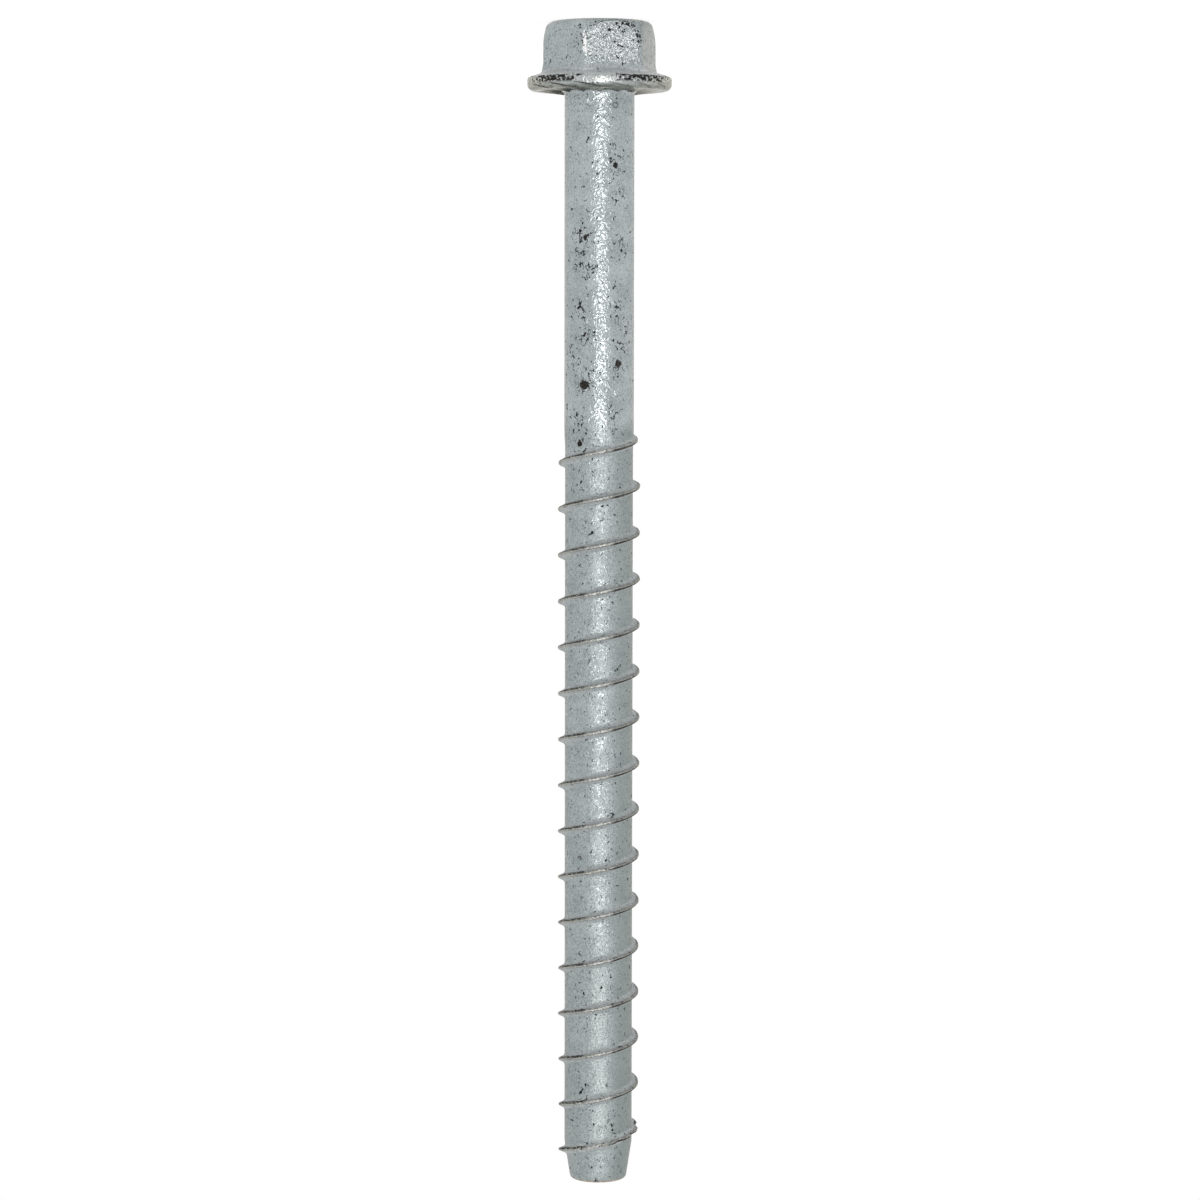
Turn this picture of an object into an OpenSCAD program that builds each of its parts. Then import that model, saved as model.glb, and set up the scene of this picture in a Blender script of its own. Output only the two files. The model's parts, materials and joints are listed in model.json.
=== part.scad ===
// Concrete screw anchor: hexagon head with a toothed flange, plain shank,
// coarse right-hand thread and a blunt tapered tip. Millimetres.
// It stands on its head: z = 0 is the top of the head and +Z runs to the tip.

/* [Head] */
// Distance across the flats of the hexagon
hex_af = 18.8; // [17:0.1:20]
// Height of the head, from its top face to the bearing face
head_h = 12.7; // [10:0.1:16]
// Diameter of the flat on top of the head
head_flat_d = 16.2; // [15:0.1:17]
// Radius that rounds the edge of the top
crown_r = 2.2; // [1.5:0.1:3]
// Diameter to which the six corners are rounded off
corner_d = 21.4; // [20.9:0.1:22]
// Height at which the rounding of the top runs out on the corners
corner_run = 5; // [4:0.1:6]
// Direction in which one corner of the hexagon points, in degrees
hex_turn = 45; // [0:1:59]
// Width of the sloping foot between the hexagon and the flange
foot_w = 0.3; // [0.2:0.1:1]
// Height of that foot
foot_h = 1.4; // [0.8:0.1:2]

/* [Flange] */
// Diameter of the flange
flange_d = 26.7; // [25:0.1:30]
// Height of the rim, where the sloping side meets it
rim_h = 2.4; // [2:0.1:3]
// Slope at the rim of the domed side towards the hexagon, in degrees
flange_slope = 19; // [12:1:30]
// Rounding of the rim's edge towards the hexagon
rim_hex_r = 0.6; // [0.3:0.1:0.9]
// Rounding of the rim's edge towards the shank
rim_seat_r = 1.2; // [0.5:0.1:1.3]

/* [Ratchet teeth under the flange] */
// Number of teeth
tooth_count = 15; // [10:1:20]
// Height of a tooth above the bearing face, at its inner end
tooth_h = 0.55; // [0.2:0.05:0.8]
// Inner diameter of the ring of teeth
tooth_inner_d = 15; // [15:0.1:18]
// Outer diameter of the ring of teeth, where they run out
tooth_outer_d = 24; // [20:0.1:24]

/* [Shank] */
// Length from the bearing face to the tip
anchor_l = 202.7; // [150:0.1:250]
// Diameter of the plain shank
shank_d = 12.9; // [12.7:0.1:13.5]
// Fillet where the shank meets the bearing face
neck_r = 0.8; // [0.3:0.1:1]

/* [Thread] */
// Diameter over the crests where the thread starts
crest_d = 15.4; // [14.6:0.1:16]
// Diameter over the crests at the tip
crest_tip_d = 15; // [14.2:0.1:16]
// Diameter of the root
root_d = 12.6; // [12:0.1:12.7]
// Rise of one turn
pitch = 8.6; // [7:0.1:10]
// Width of the flat on the crest
crest_w = 0.4; // [0.3:0.1:1]
// Angle between each flank and a plane across the axis, in degrees
flank_angle = 23; // [15:1:35]
// Length from the start of the thread to the tip
thread_l = 141; // [100:0.1:145]
// Length without thread at the tip
thread_tip_gap = 3.5; // [3:0.1:6]
// Direction in which the thread starts, in degrees
thread_turn = 80; // [0:1:359]
// Angle over which the thread rises out of the shank, in degrees
run_in = 420; // [180:10:720]
// Angle over which the thread sinks into the tip, in degrees
run_out = 50; // [30:10:90]

/* [Cutting notches in the leading turn] */
// Notches in one turn
notches_per_turn = 12; // [8:1:14]
// Depth of a notch below the crest
notch_depth = 0.6; // [0.2:0.1:1]
// Turns that are notched, counted from the tip
notched_turns = 1.4; // [0.5:0.1:4]

/* [Tip] */
// Diameter of the blunt end, before its edge is rounded
tip_d = 10.4; // [8:0.1:11.5]
// Length of the taper
tip_l = 7.1; // [5:0.1:12]
// Rounding of the end's edge
tip_r = 0.8; // [0.2:0.1:1]

/* [Hidden] */
$fn = 96;

zinc = [0.66, 0.69, 0.70];

hex_r = hex_af / sqrt(3);
flange_r = flange_d / 2;
shank_r = shank_d / 2;
root_r = root_d / 2;
tip_end_r = tip_d / 2;

// Heights along the axis
tip_z = head_h + anchor_l;
taper_z = tip_z - tip_l;
thread_z0 = tip_z - thread_l;
thread_z1 = tip_z - thread_tip_gap;
root_z = thread_z0 + pitch / 2;

// How far a joined shape reaches into what carries it
sink = 0.4;
// How far a shape that fades out ends below the surface
fade = 0.08;

// Share of a ratchet tooth that its steep side takes
steep_share = 0.15;

// Power that makes the thread rise fast at first and then slowly
run_in_ease = 0.3;

// Thread: three steps make one notch, so every notch is sampled alike
turn_steps = 3 * notches_per_turn;
thread_steps = round((thread_z1 - thread_z0) / pitch * turn_steps);
step_angle = 360 / turn_steps;
notched_steps = round(notched_turns * turn_steps);

// Radius of the bare core at a height
function core_r(z) =
    lookup(z, [[thread_z0, shank_r], [root_z, root_r], [taper_z, root_r], [tip_z, tip_end_r]]);

// Radius of the crest at a height
function crest_r(z) = lookup(z, [[thread_z0, crest_d / 2], [thread_z1, crest_tip_d / 2]]);

// Height of the thread, as a share of its full height, at one step
function thread_share(i) =
    min(1, pow(i * step_angle / run_in, run_in_ease), (thread_steps - i) * step_angle / run_out);

// Depth of the cutting notch at one step
function notch_at(i) =
    let (from_tip = thread_steps - i)
    from_tip < notched_steps && from_tip % 3 == 2 ? notch_depth : 0;

// Section of the thread at one step, as four points [radius, height]
function thread_section(i) =
    let (z = thread_z0 + i * pitch / turn_steps,
         bare = core_r(z) - fade,
         top = bare + (crest_r(z) - notch_at(i) - bare) * thread_share(i),
         low = core_r(z + sink) - 2 * sink,
         half_top = crest_w / 2,
         half_low = half_top + (top - low) * tan(flank_angle))
    [[low, z - half_low], [top, z - half_top], [top, z + half_top], [low, z + half_low]];

// Section of the ratchet ring at one of its angles: it slopes down to run out in the bearing face
function tooth_section(top) =
    [[tooth_inner_d / 2, head_h - sink], [tooth_outer_d / 2, head_h - sink],
     [tooth_outer_d / 2, head_h - fade], [tooth_inner_d / 2, head_h + top]];

// A section turned to its angle round the axis
function turned(section, angle) = [for (p = section) [p.x * cos(angle), p.x * sin(angle), p.y]];

// Solid through a row of sections with the same number of points
module sweep(rows, closed = false) {
    size = len(rows[0]);
    count = len(rows);
    points = [for (row = rows, p = row) p];
    last = closed ? count - 1 : count - 2;
    sides = [for (i = [0:last], j = [0:size - 1])
        let (next = (i + 1) % count, k = (j + 1) % size)
        each [[i * size + j, next * size + k, next * size + j],
              [i * size + j, i * size + k, next * size + k]]];
    ends = closed ? [] : [[for (j = [size - 1:-1:0]) j],
                          [for (j = [0:size - 1]) (count - 1) * size + j]];
    polyhedron(points, concat(sides, ends));
}

// Hexagon with a rounded top edge, and corners rounded off by a sphere and a cylinder
module hexagon() {
    corner_r = corner_d / 2;
    flat_r = head_flat_d / 2;
    intersection() {
        rotate(hex_turn) cylinder(r = hex_r, h = head_h, $fn = 6);
        rotate_extrude() intersection() {
            translate([0, corner_run]) {
                circle(corner_r);
                square([corner_r, head_h - corner_run]);
            }
            union() {
                translate([flat_r, crown_r]) circle(crown_r);
                polygon([[0, 0], [flat_r, 0], [corner_r, crown_r], [corner_r, head_h], [0, head_h]]);
            }
        }
    }
}

// Flange with a domed side and a rounded rim, and the sloping foot of the hexagon
module flange() {
    hex_side = [flange_r - rim_hex_r,
                head_h - rim_h - rim_hex_r * tan(flange_slope) + rim_hex_r / cos(flange_slope)];
    seat_side = [flange_r - rim_seat_r, head_h - rim_seat_r];
    edge = hex_side + rim_hex_r * [sin(flange_slope), -cos(flange_slope)];
    dome_r = edge.x / sin(flange_slope);
    dome_z = edge.y + dome_r * cos(flange_slope);
    rotate_extrude() {
        translate(hex_side) circle(rim_hex_r);
        translate(seat_side) circle(rim_seat_r);
        intersection() {
            translate([0, dome_z]) circle(dome_r);
            square(edge);
        }
        polygon([[0, edge.y], edge, [flange_r, hex_side.y],
                 [flange_r, seat_side.y], [seat_side.x, head_h], [0, head_h]]);
    }
    foot_z = dome_z - sqrt(dome_r * dome_r - hex_af * hex_af / 4);
    foot_l = foot_h + 2 * sink;
    foot_reach = 2 / sqrt(3) * foot_w * foot_l / foot_h;
    intersection() {
        translate([0, 0, foot_z - foot_h])
            rotate(hex_turn)
                cylinder(r1 = hex_r, r2 = hex_r + foot_reach, h = foot_l, $fn = 6);
        translate([0, 0, foot_z - foot_h - sink])
            cylinder(r = corner_d / 2 + foot_w, h = foot_l + 2 * sink);
    }
}

// Ring of saw teeth: the steep sides catch when the anchor turns back
module ratchet_teeth() {
    tooth_step = 360 / tooth_count;
    rows = [for (i = [0:tooth_count - 1])
        each [turned(tooth_section(-fade), i * tooth_step),
              turned(tooth_section(tooth_h), (i + steep_share) * tooth_step)]];
    sweep(rows, closed = true);
}

// Core of the shank: neck fillet, plain length, root of the thread and blunt tip
module core() {
    slope = atan((root_r - tip_end_r) / tip_l);
    round_x = tip_end_r + tip_r * tan(slope) - tip_r / cos(slope);
    round_z = tip_z - tip_r;
    rotate_extrude() {
        difference() {
            translate([0, head_h - sink]) square([shank_r + neck_r, neck_r + sink]);
            translate([shank_r + neck_r, head_h + neck_r]) circle(neck_r);
        }
        polygon([[0, head_h], [shank_r, head_h], [shank_r, thread_z0],
                 [root_r, root_z], [root_r, taper_z],
                 [round_x + tip_r * cos(slope), round_z + tip_r * sin(slope)],
                 [round_x, tip_z], [0, tip_z]]);
        translate([round_x, round_z]) circle(tip_r);
    }
}

// Single right-hand thread, swept along its helix
module thread() {
    sweep([for (i = [0:thread_steps]) turned(thread_section(i), thread_turn + i * step_angle)]);
}

// The whole anchor, one forged and rolled piece
module screw_anchor() {
    color(zinc) union() {
        hexagon();
        flange();
        ratchet_teeth();
        core();
        thread();
    }
}

screw_anchor();
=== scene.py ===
"""A galvanised hexagon-head screw anchor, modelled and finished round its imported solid."""

import json
import math

import bmesh
import bpy
from bpy.props import FloatProperty, FloatVectorProperty, IntProperty, PointerProperty
from mathutils import Matrix, Vector, noise


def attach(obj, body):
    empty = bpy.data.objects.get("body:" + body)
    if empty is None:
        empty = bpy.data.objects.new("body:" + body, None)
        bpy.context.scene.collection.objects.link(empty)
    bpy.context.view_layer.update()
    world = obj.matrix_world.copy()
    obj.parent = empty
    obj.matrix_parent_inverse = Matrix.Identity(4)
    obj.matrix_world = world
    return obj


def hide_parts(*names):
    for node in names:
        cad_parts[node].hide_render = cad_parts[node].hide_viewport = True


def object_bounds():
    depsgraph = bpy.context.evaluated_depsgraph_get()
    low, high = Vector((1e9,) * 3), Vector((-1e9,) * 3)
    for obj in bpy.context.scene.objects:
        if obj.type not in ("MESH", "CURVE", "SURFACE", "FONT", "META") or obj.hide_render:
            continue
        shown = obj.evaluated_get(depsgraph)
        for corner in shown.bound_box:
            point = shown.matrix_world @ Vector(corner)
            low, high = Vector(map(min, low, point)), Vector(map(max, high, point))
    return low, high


bl_info = {
    "name": "Screw Anchor",
    "version": (1, 0, 0),
    "blender": (4, 5, 0),
    "location": "3D View > Sidebar > Screw Anchor",
    "description": "Models a galvanised hexagon-head screw anchor and the stage it stands on",
    "category": "Object",
}

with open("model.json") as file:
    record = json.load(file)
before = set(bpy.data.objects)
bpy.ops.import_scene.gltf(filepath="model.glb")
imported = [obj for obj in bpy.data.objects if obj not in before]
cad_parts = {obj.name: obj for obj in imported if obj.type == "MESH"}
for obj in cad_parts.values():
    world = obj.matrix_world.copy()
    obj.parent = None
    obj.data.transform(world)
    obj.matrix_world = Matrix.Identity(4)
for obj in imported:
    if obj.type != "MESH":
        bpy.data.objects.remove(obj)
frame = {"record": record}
CAD_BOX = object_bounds()
MOUNTS = {mount["name"]: mount for mount in frame["record"]["mounts"]}

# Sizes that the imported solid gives
ANCHOR_LENGTH = CAD_BOX[1].z
FLANGE_RADIUS = min(CAD_BOX[1].x, CAD_BOX[1].y, -CAD_BOX[0].x, -CAD_BOX[0].y)
HEAD_HEIGHT = MOUNTS["bearing_face"]["pos_m"][2]
FLAT_REACH = math.hypot(*MOUNTS["wrench_flat"]["pos_m"][:2])

# Larger chips in the coating: across, depth, height and size in millimetres
CHIPS = (
    # On the shank and the first turn
    (-2.95, -5.74, 26.5, 0.55), (-3.45, -5.45, 24.8, 0.22), (-3.75, -5.25, 31.3, 0.25),
    (3.55, -5.39, 38.4, 0.42), (2.65, -5.88, 39.7, 0.45), (3.2, -5.6, 42.5, 0.2),
    (3.7, -5.28, 44.6, 0.25), (2.2, -6.06, 45.6, 0.2), (3.75, -5.25, 52.5, 0.4),
    (2.5, -5.95, 57.3, 0.35), (1.8, -6.19, 57.4, 0.2), (3.8, -5.21, 62.8, 0.25),
    (1.95, -6.15, 64.6, 0.25), (2.8, -5.81, 66.6, 0.85), (4.15, -4.94, 72.0, 0.35),
    (3.8, -5.21, 73.8, 0.2), (3.8, -5.21, 74.9, 0.2), (3.6, -5.35, 77.3, 0.6),
    (5.27, -3.72, 60.6, 0.25), (-3.2, -5.6, 52.4, 0.3), (-3.2, -5.6, 54.0, 0.3),
    (-4.1, -4.98, 60.0, 0.28), (-3.5, -5.42, 62.8, 0.65), (-3.0, -5.71, 71.7, 0.25),
    (-4.6, -4.52, 56.0, 0.2), (-4.3, -4.81, 41.0, 0.2),
    # Near the tip
    (3.27, -5.39, 198.1, 0.35), (-2.5, -5.78, 204.3, 0.3), (-2.7, -5.69, 205.2, 0.3),
    # On the hexagon
    (-3.06, -8.91, 1.0, 0.3), (-4.15, -8.62, 1.0, 0.3), (-5.06, -8.38, 1.1, 0.35),
    (-6.4, -8.03, 2.1, 0.32), (-6.9, -7.9, 3.2, 0.4), (-7.05, -7.85, 4.3, 0.26),
    (3.6, -9.6, 1.8, 0.28), (3.4, -9.8, 3.0, 0.3), (3.9, -9.4, 4.8, 0.2),
    (-4.0, -8.67, 5.1, 0.3),
)

# Middle of a faint round mark near the flange, in millimetres
ROUND_MARK = (-2.92, -5.75, 15.55)

# Place of a painted highlight streak on one edge of the hexagon, across and to the front, in millimetres
HIGHLIGHT_STREAK = (2.75, 10.25)

# Direction across the front and the back flat of the hexagon
FLAT_WAY = (0.2588, 0.9659)

MILLIMETRE = 0.001
FULL_TURN = 2 * math.pi

# Points closer than this are one point, and so are the ends of neighbouring turns
POINT_MERGE = 0.004 * MILLIMETRE
TURN_MERGE = 0.02 * MILLIMETRE

PIECE = "anchor"


def length(name, description, default):
    """A length that a user can change, in metres."""
    return FloatProperty(name=name, description=description, default=default, unit="LENGTH", precision=5)


def angle(name, description, degrees):
    """An angle that a user can change, given in degrees."""
    return FloatProperty(name=name, description=description, default=math.radians(degrees),
                         subtype="ANGLE")


def colour(name, description, default):
    """A linear colour that a user can change."""
    return FloatVectorProperty(name=name, description=description, default=default,
                               subtype="COLOR", min=0, max=1)


def amount(name, description, default):
    """A plain number that a user can change."""
    return FloatProperty(name=name, description=description, default=default)


class HeadSizes(bpy.types.PropertyGroup):
    """Sizes of the hexagon, the flange and its ratchet teeth."""

    flat_reach: length("Flat reach", "Distance from the axis to a flat of the hexagon", FLAT_REACH)
    hexagon_turn: angle("Hexagon turn", "Direction in which one corner of the hexagon points", 45)
    top_radius: length("Top radius", "Radius of the flat on top of the head", 0.0081)
    crown_radius: length("Crown radius", "Rounding of the top edge", 0.0022)
    corner_radius: length("Corner radius", "Reach of the six rounded corners", 0.0107)
    corner_run: length("Corner run", "Height at which the rounding of the top runs out", 0.005)
    edge_softness: length("Edge softness", "Width over which the flats' top edges are rounded", 0.00045)
    corner_softness: length("Corner softness", "Width over which the corners are rounded", 0.00015)
    foot_width: length("Foot width", "Width of the sloping foot of the hexagon", 0.0003)
    foot_height: length("Foot height", "Height of the sloping foot", 0.0014)
    foot_fillet: length("Foot fillet", "Reach of the fillet between foot and flange", 0.0005)
    flange_radius: length("Flange radius", "Reach of the flange", FLANGE_RADIUS)
    rim_height: length("Rim height", "Height of the rim, where the sloping side meets it", 0.0024)
    flange_slope: angle("Flange slope", "Slope of the flange's domed side at the rim", 19)
    rim_hex_radius: length("Rim radius, hexagon side", "Rounding of the rim towards the hexagon", 0.0006)
    rim_seat_radius: length("Rim radius, seat side", "Rounding of the rim towards the shank", 0.0012)
    tooth_count: IntProperty(name="Teeth", description="Ratchet teeth under the flange", default=15)
    tooth_height: length("Tooth height", "Height of a ratchet tooth at its inner end", 0.00055)
    tooth_sink: length("Tooth sink", "How far below the seat a tooth runs out", 0.00008)
    tooth_inner: length("Tooth inner radius", "Inner radius of the ring of teeth", 0.0075)
    tooth_outer: length("Tooth outer radius", "Radius at which the teeth run out", 0.012)
    steep_share: amount("Steep share", "Share of a tooth that its steep side takes", 0.15)
    shank_radius: length("Shank radius", "Radius of the plain shank", 0.00645)
    neck_fillet: length("Neck fillet", "Fillet between the flange and the shank", 0.0008)
    unevenness: length("Unevenness", "Depth of the forging's shallow dents", 0.00006)


class ThreadSizes(bpy.types.PropertyGroup):
    """Sizes of the thread, its cutting notches and the tip."""

    root_radius: length("Root radius", "Radius of the core between the turns", 0.0063)
    crest_radius: length("Crest radius", "Reach of the crest where the thread starts", 0.0077)
    crest_tip_radius: length("Crest radius at the tip", "Reach of the crest at its end", 0.0075)
    crest_width: length("Crest width", "Width of the crest's flat", 0.0004)
    crest_round: length("Crest rounding", "Rounding of the crest's edges", 0.00013)
    root_fillet: length("Root fillet", "Reach of the fillet at the foot of a flank", 0.0004)
    flank_angle: angle("Flank angle", "Angle of a flank to a plane across the axis", 23)
    pitch: length("Pitch", "Rise of one turn", 0.0086)
    thread_length: length("Thread length", "Length from the start of the thread to the tip", 0.141)
    tip_gap: length("Tip gap", "Length without thread at the tip", 0.0035)
    start_turn: angle("Start turn", "Direction in which the thread starts", 80)
    run_in: angle("Run-in", "Angle over which the thread rises out of the shank", 420)
    run_in_ease: amount("Run-in ease", "Power that makes the thread rise fast at first", 0.3)
    run_out: angle("Run-out", "Angle over which the thread sinks into the tip", 50)
    notch_turn: angle("Notch spacing", "Angle from one cutting notch to the next", 30)
    notch_spread: angle("Notch spread", "Angle from the middle of a notch to its end", 10)
    notch_depth: length("Notch depth", "Depth of a cutting notch", 0.0006)
    notched_turns: amount("Notched turns", "Turns that are notched, counted from the tip", 1.4)
    tip_radius: length("Tip radius", "Radius of the blunt end before its edge is rounded", 0.0052)
    taper_length: length("Taper length", "Length of the tapered tip", 0.0071)
    tip_round: length("Tip rounding", "Rounding of the end's edge", 0.0008)
    wear: length("Crest wear", "Depth to which the crest is worn unevenly", 0.00012)


class MeshDetail(bpy.types.PropertyGroup):
    """How finely the anchor is meshed."""

    turn_steps: IntProperty(name="Steps in a turn", description="Steps round the axis", default=150)
    shank_rings: IntProperty(name="Shank rings", description="Rings along the plain shank", default=30)


class ZincFinish(bpy.types.PropertyGroup):
    """Colours of the galvanised surface, and of the light and shade painted on it."""

    zinc_light: colour("Light zinc", "Zinc at its lightest", (0.446, 0.49, 0.503))
    zinc_dark: colour("Dark zinc", "Zinc at its darkest", (0.308, 0.35, 0.362))
    # Matte zinc that is also lighter than the rest, as painted light on the shaded flanks and fillet
    matte: colour("Matte zinc", "Plain zinc on the flanks and the foot", (0.50, 0.53, 0.54))
    matte_dark: colour("Darker matte zinc", "Grain in the plain matte zinc", (0.38, 0.41, 0.42))
    # Painted light that lifts the shaded fillet where the dome meets the hexagon
    foot_painted_light: colour("Light foot", "Lighter zinc where the dome meets the hexagon", (0.72, 0.75, 0.76))
    # Used as painted shade in the thread, and for greener stains on the hexagon's right faces
    painted_shade_and_stain: colour("Thread shade", "Greener and darker zinc in the thread", (0.235, 0.275, 0.265))
    end_edge: colour("End edge", "Tan edge of the blunt end", (0.52, 0.42, 0.31))
    # Near white, painted as glints and highlights: sparkle on two flats, flecks on the rim, a streak on
    # the hexagon and glints on the crests
    painted_glint: colour("Polished zinc", "Zinc that is rubbed bright", (0.95, 0.95, 0.95))
    # Also the black of the painted dark reflections on the rim
    pits_and_dark_reflections: colour("Pits", "Pits and chips in the coating", (0.012, 0.013, 0.013))
    bare: colour("Bare steel", "Brown steel inside the larger chips", (0.05, 0.042, 0.034))
    crest: colour("Worn crest", "Crest of the thread, worn to a greenish grey", (0.4, 0.415, 0.385))
    crest_dark: colour("Dark crest", "Darker grey patches on the crest", (0.25, 0.25, 0.222))
    # Near black, painted as shade along the crest and in the steps under the flange; also dark spots on
    # the blunt end
    painted_shade_and_spots: colour("Dark lines", "Lines along the crest and between the teeth", (0.022, 0.021, 0.019))
    rim: colour("Rim", "Greenish grey of the flange's rim", (0.30, 0.325, 0.29))
    # The seat colours are stains and painted shade under the flange; the dark one is also dull grit and a
    # round mark
    seat: colour("Seat", "Underside of the flange", (0.26, 0.29, 0.265))
    seat_dark: colour("Dark seat", "Stains under the flange and dull grit", (0.13, 0.14, 0.125))
    rim_warm: colour("Warm rim", "Tan grey patches on the rim", (0.42, 0.41, 0.36))
    edge_tint: colour("Edge tint", "Reflection of the zinc seen edge-on", (0.9, 0.86, 0.8))


class StageSettings(bpy.types.PropertyGroup):
    """Camera, light and floor."""

    distance: length("Camera distance", "From the aim point to the camera", 0.6927)
    aim_height: length("Aim height", "Height of the aim point on the axis", 0.10661)
    aim_offset: length("Aim offset", "How far the camera looks past the axis", 0.00022)
    rise: angle("Camera rise", "Angle at which the camera looks up", 4.2)
    lean: angle("Camera lean", "Small turn of the picture", 0.088)
    lens: amount("Lens", "Focal length in millimetres", 111.77)
    front_power: FloatProperty(name="Front light", description="Power of the front light", default=4.1,
                               unit="POWER")
    front_tint: colour("Front light colour", "Slightly warm white of the front light", (1, 0.93, 0.9))
    front_width: length("Front light width", "Width of the front light", 0.4)
    front_height: length("Front light height", "Height of the front light", 0.62)
    front_spot: FloatVectorProperty(name="Front light spot", description="Place of the front light",
                                    default=(-0.1, -1.2, 0.33), subtype="TRANSLATION")
    fill: amount("Fill", "Strength of the light from the white room", 0.9)
    floor_size: length("Floor size", "Side of the floor", 40)
    floor_white: amount("Floor white", "Share of white that the floor shows by itself", 0.86)


def smooth_min(first, second, width):
    """The smaller of two lengths, with the edge between them rounded over a width."""
    blend = max(width - abs(first - second), 0) / width
    return min(first, second) - blend * blend * width / 4


def smooth_step(low, high, value):
    """Rises smoothly from 0 at low to 1 at high."""
    share = min(max((value - low) / (high - low), 0), 1)
    return share * share * (3 - 2 * share)


def between(low, high, share):
    """The value at a share of the way from low to high."""
    return low + (high - low) * share


def shares(count):
    """The ends of count equal parts of a stretch."""
    return [(i + 1) / count for i in range(count)]


class HeadShape:
    """Places the rings of the head and the plain shank, from the top face up.

    Each stretch gives the radius and the height of a point at a share of its way and a turn.
    """

    def __init__(self, sizes, shank_end):
        self.sizes = sizes
        self.shank_end = shank_end
        slope = sizes.flange_slope
        rim = sizes.rim_hex_radius
        rim_start = HEAD_HEIGHT - sizes.rim_height
        self.hex_side = Vector((sizes.flange_radius - rim,
                                rim_start - rim * math.tan(slope) + rim / math.cos(slope)))
        seat_corner = Vector((sizes.flange_radius, HEAD_HEIGHT))
        self.seat_side = seat_corner - Vector((1, 1)) * sizes.rim_seat_radius
        edge = self.hex_side + rim * Vector((math.sin(slope), -math.cos(slope)))
        self.edge_radius = edge.x
        self.dome_radius = edge.x / math.sin(slope)
        self.dome_centre = edge.y + self.dome_radius * math.cos(slope)
        self.foot_start = self.dome(sizes.flat_reach) - sizes.foot_height

    def dome(self, radius):
        """Height of the flange's domed side at a radius."""
        return self.dome_centre - math.sqrt(self.dome_radius ** 2 - radius ** 2)

    def hexagon(self, turn, widening=0.0):
        """Distance from the axis to the hexagon in one direction."""
        sixth = FULL_TURN / 6
        from_middle = (turn - self.sizes.hexagon_turn) % sixth - sixth / 2
        flat = (self.sizes.flat_reach + widening) / math.cos(from_middle)
        return smooth_min(flat, self.sizes.corner_radius + widening, self.sizes.corner_softness)

    def rounding(self, height):
        """Radius to which the top edge and the corners are rounded at a height."""
        sizes = self.sizes
        corner = math.sqrt(sizes.corner_radius ** 2 - max(sizes.corner_run - height, 0) ** 2)
        if height >= sizes.crown_radius:
            return corner
        crown = sizes.top_radius + math.sqrt(sizes.crown_radius ** 2 - (sizes.crown_radius - height) ** 2)
        return min(crown, corner)

    def top(self, share, turn):
        return share * self.sizes.top_radius, 0.0

    def crown(self, share, turn):
        least = 0.01 * MILLIMETRE
        height = self.sizes.corner_run * (1 - math.cos(share * math.pi / 2))
        softness = between(self.sizes.edge_softness, least, height / self.sizes.corner_run)
        return smooth_min(self.rounding(height), self.hexagon(turn), softness), height

    def wall(self, share, turn):
        return self.hexagon(turn), between(self.sizes.corner_run, self.foot_start, share)

    def foot_points(self, turn):
        """Start of the foot, start of its fillet, the corner in it and the fillet's end."""
        sizes = self.sizes
        start = Vector(self.wall(1, turn))
        radius = self.hexagon(turn, sizes.foot_width)
        corner = Vector((radius, self.dome(radius)))
        fillet = corner + (start - corner).normalized() * sizes.foot_fillet
        end = radius + sizes.foot_fillet
        return start, fillet, corner, Vector((end, self.dome(end)))

    def foot(self, share, turn):
        start, fillet, _, _ = self.foot_points(turn)
        return tuple(start.lerp(fillet, share))

    def fillet(self, share, turn):
        _, start, corner, end = self.foot_points(turn)
        return tuple(start.lerp(corner, share).lerp(corner.lerp(end, share), share))

    def flange(self, share, turn):
        radius = between(self.foot_points(turn)[3].x, self.edge_radius, share)
        return radius, self.dome(radius)

    def rim(self, share, turn):
        if share <= 0.5:
            centre = self.hex_side
            reach = self.sizes.rim_hex_radius
            lift = between(self.sizes.flange_slope - math.pi / 2, 0, share * 2)
        else:
            centre = self.seat_side
            reach = self.sizes.rim_seat_radius
            lift = between(0, math.pi / 2, share * 2 - 1)
        return centre.x + reach * math.cos(lift), centre.y + reach * math.sin(lift)

    def seat(self, share, turn):
        radius = between(self.seat_side.x, self.sizes.shank_radius + self.sizes.neck_fillet, share)
        return radius, HEAD_HEIGHT + self.tooth(radius, turn)

    def tooth(self, radius, turn):
        """Height of the ratchet teeth at a point under the flange. They run out towards the rim."""
        sizes = self.sizes
        step = FULL_TURN / sizes.tooth_count
        along = turn % step / step
        saw = min(along / sizes.steep_share, (1 - along) / (1 - sizes.steep_share))
        out = (radius - sizes.tooth_inner) / (sizes.tooth_outer - sizes.tooth_inner)
        lead = 0.25 * MILLIMETRE
        inner = smooth_step(sizes.tooth_inner - lead, sizes.tooth_inner, radius)
        proud = between(sizes.tooth_height + sizes.tooth_sink, 0, max(out, 0)) * saw - sizes.tooth_sink
        return max(proud * inner, 0)

    def neck(self, share, turn):
        reach = self.sizes.neck_fillet
        lift = share * math.pi / 2
        return (self.sizes.shank_radius + reach - reach * math.sin(lift),
                HEAD_HEIGHT + reach - reach * math.cos(lift))

    def shank(self, share, turn):
        start = HEAD_HEIGHT + self.sizes.neck_fillet
        return self.sizes.shank_radius, between(start, self.shank_end, share)

    def rings(self, detail):
        """The stretches from the middle of the top face to the thread, as (place, share) pairs."""
        plan = ((self.top, 5), (self.crown, 16), (self.wall, 5), (self.foot, 2), (self.fillet, 4),
                (self.flange, 7), (self.rim, 14), (self.seat, 14), (self.neck, 5),
                (self.shank, detail.shank_rings))
        return [(self.top, 0.0)] + [(place, share) for place, count in plan for share in shares(count)]


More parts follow.
